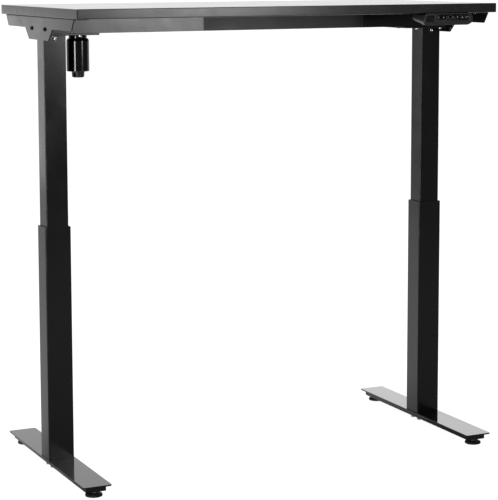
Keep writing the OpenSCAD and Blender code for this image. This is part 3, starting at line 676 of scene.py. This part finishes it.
INPUTS = {item.name: item.identifier for item in placing.interface.items_tree if item.in_out == "INPUT"}


def place_shapes(name, mesh, spots, finish, seed=1):
    """One mesh with a copy of a shape at each spot, a spot being a place and a direction."""
    master = bpy.data.objects.new(name + "_shape", mesh)
    cloud = bpy.data.meshes.new(name)
    cloud.from_pydata([place for place, _ in spots], [], [])
    aims = cloud.attributes.new("aim", "FLOAT_VECTOR", "POINT")
    aims.data.foreach_set("vector", [v for _, aim in spots for v in aim])
    holder = bpy.data.objects.new(name, cloud)
    for thing in (master, holder):
        scene.collection.objects.link(thing)
    copier = holder.modifiers.new("copies", "NODES")
    copier.node_group = placing
    copier[INPUTS["Shape"]] = master
    copier[INPUTS["Finish"]] = finish
    copier[INPUTS["Seed"]] = seed
    copied = settled(holder)
    bpy.data.objects.remove(master)
    return copied


# %% Fine shapes of the fasteners
BOLT_THREAD = 0.55  # depth of a bolt's thread, in pitches
WOOD_THREAD = 0.75  # depth of a wood screw's thread, in mm


def socket_bolt(name, head, head_h, shank, length, pitch, socket):
    """A socket head bolt from its head's outer face up to its tip, all sizes in mm."""
    edge, h, s = 0.5, head / 2, shank / 2
    depth = BOLT_THREAD * pitch
    rings = [(head_h * 0.6, hexagon(socket)), (0.35, hexagon(socket)), (0, socket / 2 + 0.75)]
    rings += [(0, h - edge), (0.15, h - edge * 0.3), (edge, h), (head_h - 0.2, h), (head_h, h - 0.2)]
    rings += [(head_h, s + 0.25), (head_h + 0.25, s), (head_h + 1.4, s)]
    rings += threaded_rings(s, depth, pitch, head_h + 1.5, length - 0.9)
    return turned(name, rings + [(length - 0.7, s - depth), (length, s - 0.8)])


def wood_screw(name, head, head_h, shank, length, pitch):
    """A countersunk screw with a cross recess, drawn as a four-lobed hollow, and a drawn-out point."""
    h, s = head / 2, shank / 2
    lobes = ridged(1.9, 1.2, 4)
    rings = [(1.6, 0.35), (1.0, ridged(1.1, 0.6, 4)), (0.12, lobes), (0, 2.2), (0, h - 0.3), (0.25, h)]
    rings += [(0.5, h), (head_h, s + 0.1), (head_h + 0.8, s * 0.8)]
    rings += threaded_rings(s, WOOD_THREAD, pitch, head_h + 1.0, length - 3.2)
    return turned(name, rings + [(length - 3.0, s * 0.6), (length - 0.4, 0.35), (length, 0.12)])


# %% Bolts of the frame
SAME_LENGTH = 0.3  # bolts of one kind differ by less than this, in mm
M6, M6_PITCH = 6, 1.0
# by length over all: name, head height, how far the fine head stands out further, socket width, finish
KINDS = {
    26.5: ("plate_bolts", 4.5, 0, 4.5, zinc),
    17.0: ("head_bolts", 4.0, 0, 4.5, zinc),
    16.0: ("lock_bolts", 4.0, 0, 4.5, zinc),
    12.6: ("bracket_bolts", 6.0, 3.4, 5.0, black_oxide),
}
frame_fasteners = fasteners_in("frame_bolts")
for length, (name, head_h, proud, socket, finish) in KINDS.items():
    chosen = [f for f in frame_fasteners if abs(f.length - length) < SAME_LENGTH]
    bolt = socket_bolt(name, chosen[0].width, head_h, M6, length + proud, M6_PITCH, socket)
    spots = [(f.head - f.aim * proud * MM, f.aim) for f in chosen]
    mesh = place_shapes(name, bolt, spots, finish)
    place_piece(name, mesh, "desk_top", None, ["frame_bolts"])
    print(name, len(chosen))

# %% Wood screws under the tabletop
top_fasteners = fasteners_in("top_screws")
# screws shorter than 30 mm hold the brackets and the control box, longer ones the handset
for name, shortest, longest in (("bracket_screws", 0, 30), ("handset_screws", 30, 60)):
    chosen = [f for f in top_fasteners if shortest < f.length < longest]
    length, width = chosen[0].length, chosen[0].width
    screw = wood_screw(name, head=width, head_h=2.8, shank=4, length=length, pitch=1.8)
    mesh = place_shapes(name, screw, [(f.head, f.aim) for f in chosen], zinc, seed=5)
    place_piece(name, mesh, "desk_top", None, ["top_screws"])
    print(name, len(chosen))

# %% Foot bolts
LONGEST_NUT = 20  # the weld nuts in the same node are shorter than this, in mm, and aren't drawn
for side in SIDES:
    name = side + "_foot_bolts"
    bolts = [f for f in fasteners_in(name) if f.length > LONGEST_NUT]
    length, width = bolts[0].length, bolts[0].width
    bolt = socket_bolt(name + "_fine", width, head_h=5, shank=8, length=length, pitch=1.25, socket=6)
    mesh = place_shapes(name + "_fine", bolt, [(f.head, f.aim) for f in bolts], zinc, seed=9)
    place_piece(name + "_fine", mesh, side + "_base", None, [name])
    print(name, len(bolts), "bolts")


# %% [markdown]
# ## Lead screws and levelling feet
# A lead screw is rolled with a two-start trapezoidal thread: one turn lifts the desk by 8 mm. Its ends
# are turned down for the bearing and the gear. A levelling foot is a rubber pad moulded on a plated stud,
# with grip ridges round its edge for turning by hand. A thread could be a profile swept along a helix, but
# stacked rings whose radius follows the angle stay closed at both ends and need far fewer faces.

# %% Lead screws
SCREW_RADIUS, THREAD_DEPTH, LEAD, STARTS = 7.0, 1.6, 8.0, 2
POINT = 2  # length of the pointed lower end, in mm
NECK = 4  # length without a thread below the journal, in mm
for side in SIDES:
    name = side + "_screw"
    low, high = (Vector(corner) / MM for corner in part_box(name))
    centre = (low + high) / 2
    outline = {}
    for vert in nodes[name].data.vertices:
        reach = round(math.hypot(vert.co.x / MM - centre.x, vert.co.y / MM - centre.y), 1)
        outline.setdefault(round(vert.co.z / MM, 1), set()).add(reach)
    steps = sorted(outline.items())
    shoulder = max(z for z, reaches in steps if abs(max(reaches) - SCREW_RADIUS) < 0.11)
    journal = max(min(reaches) for z, reaches in steps if z >= shoulder)
    start, end = low.z + POINT, shoulder - NECK
    rings = [(low.z, SCREW_RADIUS - 1.8), (low.z + 1.5, SCREW_RADIUS - 0.3)]
    rings += threaded_rings(SCREW_RADIUS, THREAD_DEPTH, LEAD, start, end, STARTS)
    rings += [(shoulder - 3.9, SCREW_RADIUS), (shoulder, SCREW_RADIUS)]
    rings += [(shoulder, journal), (high.z - 0.6, journal), (high.z, journal - 0.6)]
    mesh = turned(name + "_rolled", rings)
    mesh.transform(Matrix.Translation((centre.x * MM, centre.y * MM, 0)))
    place_piece(name + "_rolled", mesh, side + "_lead_screw", ground_steel, [name])
    print(name, "thread from", start, "to", end, "mm, journal radius", journal)

# %% Levelling feet
PAD_R, PAD_H, STUD_R = 22.0, 8.0, 4.0
GRIP = ridged(PAD_R, 0.7, 36)
NUT = hexagon(13)
# (height, radius) in mm, from the hollow under the pad, over its edge, to the seat of the stud
pad_rings = [(1.2, 6.0), (1.2, 9.0), (0.3, 10.0), (0.3, 13.0), (1.0, 14.0), (1.0, 17.0), (0.0, 18.0)]
pad_rings += [(0.0, PAD_R - 1.2), (0.4, PAD_R - 0.4), (1.2, PAD_R), (2.0, GRIP)]
pad_rings += [(4.6, GRIP), (5.3, PAD_R - 0.3), (6.0, PAD_R - 1.4), (6.6, PAD_R - 4)]
pad_rings += [(7.4, 11.0), (PAD_H, 9.0), (PAD_H, 7.0)]
for name in FEET:
    low, high = (Vector(corner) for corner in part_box(name))
    centre = (low + high) / 2
    stud_rings = [(PAD_H - 0.4, NUT), (PAD_H + 3.0, NUT), (PAD_H + 3.4, 6.0)]
    stud_rings += threaded_rings(STUD_R, 0.6, 1.25, PAD_H + 3.5, high.z / MM - 1)
    stud_rings += [(high.z / MM, STUD_R - 0.8)]
    body = nodes[name]["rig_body"]
    for part, rings, around, finish in (("pad", pad_rings, 72, rubber), ("stud", stud_rings, 24, zinc)):
        mesh = turned(f"{name}_{part}", rings, around)
        mesh.transform(Matrix.Translation((centre.x, centre.y, 0)))
        place_piece(f"{name}_{part}", mesh, body, finish, [name])
print("levelling feet:", len(FEET))


# %% [markdown]
# ## Handset
# Each button carries a small printed mark, and the display shows its unlit segments behind dark acrylic.
# The marks are outlines filled to a flat face and given the thickness of an ink film. They ride on the
# buttons, so a mark goes in when its button is pressed. The case is a block in the frame: lifting the
# points of its lower face towards the rear turns a copy of it into the wedge of the real one.

# %% Case that gets thinner towards its back
REAR_RISE = 12 * MM  # how far the lower face has risen at the rear
FACE_DEPTH = 9 * MM  # the front part that keeps its height
low, high = (Vector(corner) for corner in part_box("handset_case"))
work = welded("handset_case")
for vert in work.verts:
    back = max(0, (vert.co.y - low.y - FACE_DEPTH) / (high.y - low.y - FACE_DEPTH))
    vert.co.z += REAR_RISE * back * (high.z - vert.co.z) / (high.z - low.z)
case_mesh = rounded_mesh("handset_case_finished", work, 0.5)
place_piece(
    "handset_case_finished", case_mesh, "desk_top", moulded_abs, ["handset_case"]
)

# %% Marks on the buttons
INK = 0.12  # thickness of the print, in mm, drawn thick enough to stay clear of the button's face


def flat_piece(name, outlines, place, finish, body):
    """Closed outlines in mm, seen from the front, as a thin raised print on a face that looks to -Y."""
    work = bmesh.new()
    for outline in outlines:
        front = [work.verts.new((x * MM, -INK * MM, z * MM)) for x, z in outline]
        back = [work.verts.new((x * MM, 0, z * MM)) for x, z in outline]
        work.faces.new(front)
        work.faces.new(back[::-1])
        for i in range(len(outline)):
            j = (i + 1) % len(outline)
            work.faces.new((front[j], front[i], back[i], back[j]))
    bmesh.ops.recalc_face_normals(work, faces=work.faces)
    mesh = bpy.data.meshes.new(name)
    work.to_mesh(mesh)
    work.free()
    mesh.transform(Matrix.Translation(place))
    return place_piece(name, mesh, body, finish)


def bar(x0, z0, x1, z1, width):
    """The four corners of a straight stroke."""
    along = Vector((x1 - x0, z1 - z0)).normalized() * width / 2
    side = Vector((-along.y, along.x))
    a, b = Vector((x0, z0)) - along, Vector((x1, z1)) + along
    return [tuple(a - side), tuple(b - side), tuple(b + side), tuple(a + side)]


def arc(radius, start, end, width, steps=14):
    """A ring or part of one, as one short four-cornered stroke for each step."""
    bands = []
    for i in range(steps):
        t0, t1 = (math.radians(start + (end - start) * k / steps) for k in (i, i + 1))
        inner, outer = radius - width / 2, radius + width / 2
        corners = ((inner, t0), (outer, t0), (outer, t1), (inner, t1))
        bands.append([(r * math.cos(t), r * math.sin(t)) for r, t in corners])
    return bands


def moved(outlines, dz):
    """Outlines moved up or down."""
    return [[(x, z + dz) for x, z in outline] for outline in outlines]


STROKE, THIN_STROKE = 0.75, 0.5
TIP, BASE = 2.2, -2.2  # top and bottom of a digit
MARKS = {
    "up": [bar(-2.2, -1, 0, 1.4, STROKE), bar(0, 1.4, 2.2, -1, STROKE)],
    "down": [bar(-2.2, 1, 0, -1.4, STROKE), bar(0, -1.4, 2.2, 1, STROKE)],
    "1": [bar(0, BASE, 0, TIP, STROKE), bar(-1, 1.4, 0, TIP, STROKE)],
    "2": moved(arc(1.25, 170, -40, STROKE), 0.9)
    + [bar(1.0, 0.1, -1.4, BASE, STROKE), bar(-1.4, BASE, 1.5, BASE, STROKE)],
    "3": moved(arc(1.1, 150, -90, STROKE), 1.1) + moved(arc(1.1, 90, -150, STROKE), -1.1),
    "4": [
        bar(0.6, BASE, 0.6, TIP, STROKE),
        bar(0.6, TIP, -1.7, -0.9, STROKE),
        bar(-1.7, -0.9, 1.6, -0.9, STROKE),
    ],
    "timer": arc(2.1, 0, 360, 0.55, 24) + [bar(0, 0, 0, 1.3, THIN_STROKE), bar(0, 0, 0.9, -0.5, THIN_STROKE)],
}
for label, outlines in MARKS.items():
    name = "button_" + label
    low, high = (Vector(corner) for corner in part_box(name))
    place = ((low.x + high.x) / 2, low.y, (low.z + high.z) / 2)
    flat_piece("mark_" + label, outlines, place, print_ink, nodes[name]["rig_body"])

# %% Unlit digits of the display
low, high = (Vector(corner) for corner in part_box("handset_window"))
SEGMENT_W, SEGMENT_H, GAP = 3.6, 4.0, 0.35
SEGMENT_STROKE, DIGIT_PITCH = 0.7, 6.4
reach = SEGMENT_H / 2 - GAP
segments = []
for digit in (-1, 0, 1):
    x = digit * DIGIT_PITCH
    for z in (-SEGMENT_H, 0, SEGMENT_H):
        segments.append(bar(x - SEGMENT_W / 2 + GAP, z, x + SEGMENT_W / 2 - GAP, z, SEGMENT_STROKE))
    for upright_x in (x - SEGMENT_W / 2, x + SEGMENT_W / 2):
        for z in (-SEGMENT_H / 2, SEGMENT_H / 2):
            segments.append(bar(upright_x, z - reach, upright_x, z + reach, SEGMENT_STROKE))
middle = ((low.x + high.x) / 2, low.y, (low.z + high.z) / 2)
flat_piece("display_digits", segments, middle, dead_segment, "desk_top")
print("marks:", len(MARKS), "and", len(segments), "display segments")


# %% [markdown]
# ## Weld beads
# The channel under each foot is stitch welded to the plate: short beads with a gap between them. A bead is
# a row of overlapping round ripples, so Geometry Nodes put one flattened ball at each step along it.

# %% Stitch welds under the feet
RIPPLE_STEP, STITCH, STITCH_GAP = 1.1, 28, 62
END_CLEAR = 20  # no weld this close to the channel's ends, in mm
RIPPLES = range(int(STITCH / RIPPLE_STEP))
upper_half = [(0, 1.8), (0.7, 1.65), (1.4, 1.1), (1.8, 0.2)]
lower_half = [(-z, r) for z, r in upper_half[:0:-1]]
ripple = turned("ripple", lower_half + upper_half, around=12)
for side in SIDES:
    low, high = (Vector(corner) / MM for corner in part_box(side + "_foot_channel"))
    spots = []
    for x in (low.x, high.x):
        y = low.y + END_CLEAR
        while y + STITCH < high.y - END_CLEAR:
            spots += [((x * MM, (y + k * RIPPLE_STEP) * MM, high.z * MM), (0, 0, 1)) for k in RIPPLES]
            y += STITCH + STITCH_GAP
    mesh = place_shapes(side + "_foot_welds", ripple.copy(), spots, foot_coat, seed=3)
    place_piece(side + "_foot_welds", mesh, side + "_base", None)
    print(side, "stitch welds:", len(spots), "ripples")


# %% [markdown]
# ## Motor fastenings
# The can is closed by two long tie screws. Their heads show on its lower face, beside the bearing cap.
# They could be a boolean cut and a cylinder each, but the same turned rings and the same placing tree make
# them without any cut, and the four-lobed recess comes from one rule of the angle.

# %% Tie screws of the motor
low, high = (Vector(corner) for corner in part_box("motor_can"))
centre = (low + high) / 2
TIE_CIRCLE = 23  # radius of the circle that the tie screws stand on, in mm
TIE_HEAD = 2.4  # how far their heads stand out, in mm
recess = [(1.4, ridged(1.7, 1.1, 4)), (0.1, ridged(1.9, 1.2, 4))]
tie_screw = turned("tie_screw", recess + [(0, 2.4), (0.3, 3.4), (1.2, 3.9), (2.6, 4.0)])
ties = []
for degrees in (35, 215):
    angle = math.radians(degrees)
    reach = Vector((math.cos(angle), math.sin(angle), 0)) * TIE_CIRCLE * MM
    ties.append(((centre.x + reach.x, centre.y + reach.y, low.z - TIE_HEAD * MM), (0, 0, 1)))
mesh = place_shapes("motor_tie_screws", tie_screw, ties, zinc, seed=2)
place_piece("motor_tie_screws", mesh, "desk_top", None)
print("tie screws:", len(ties))
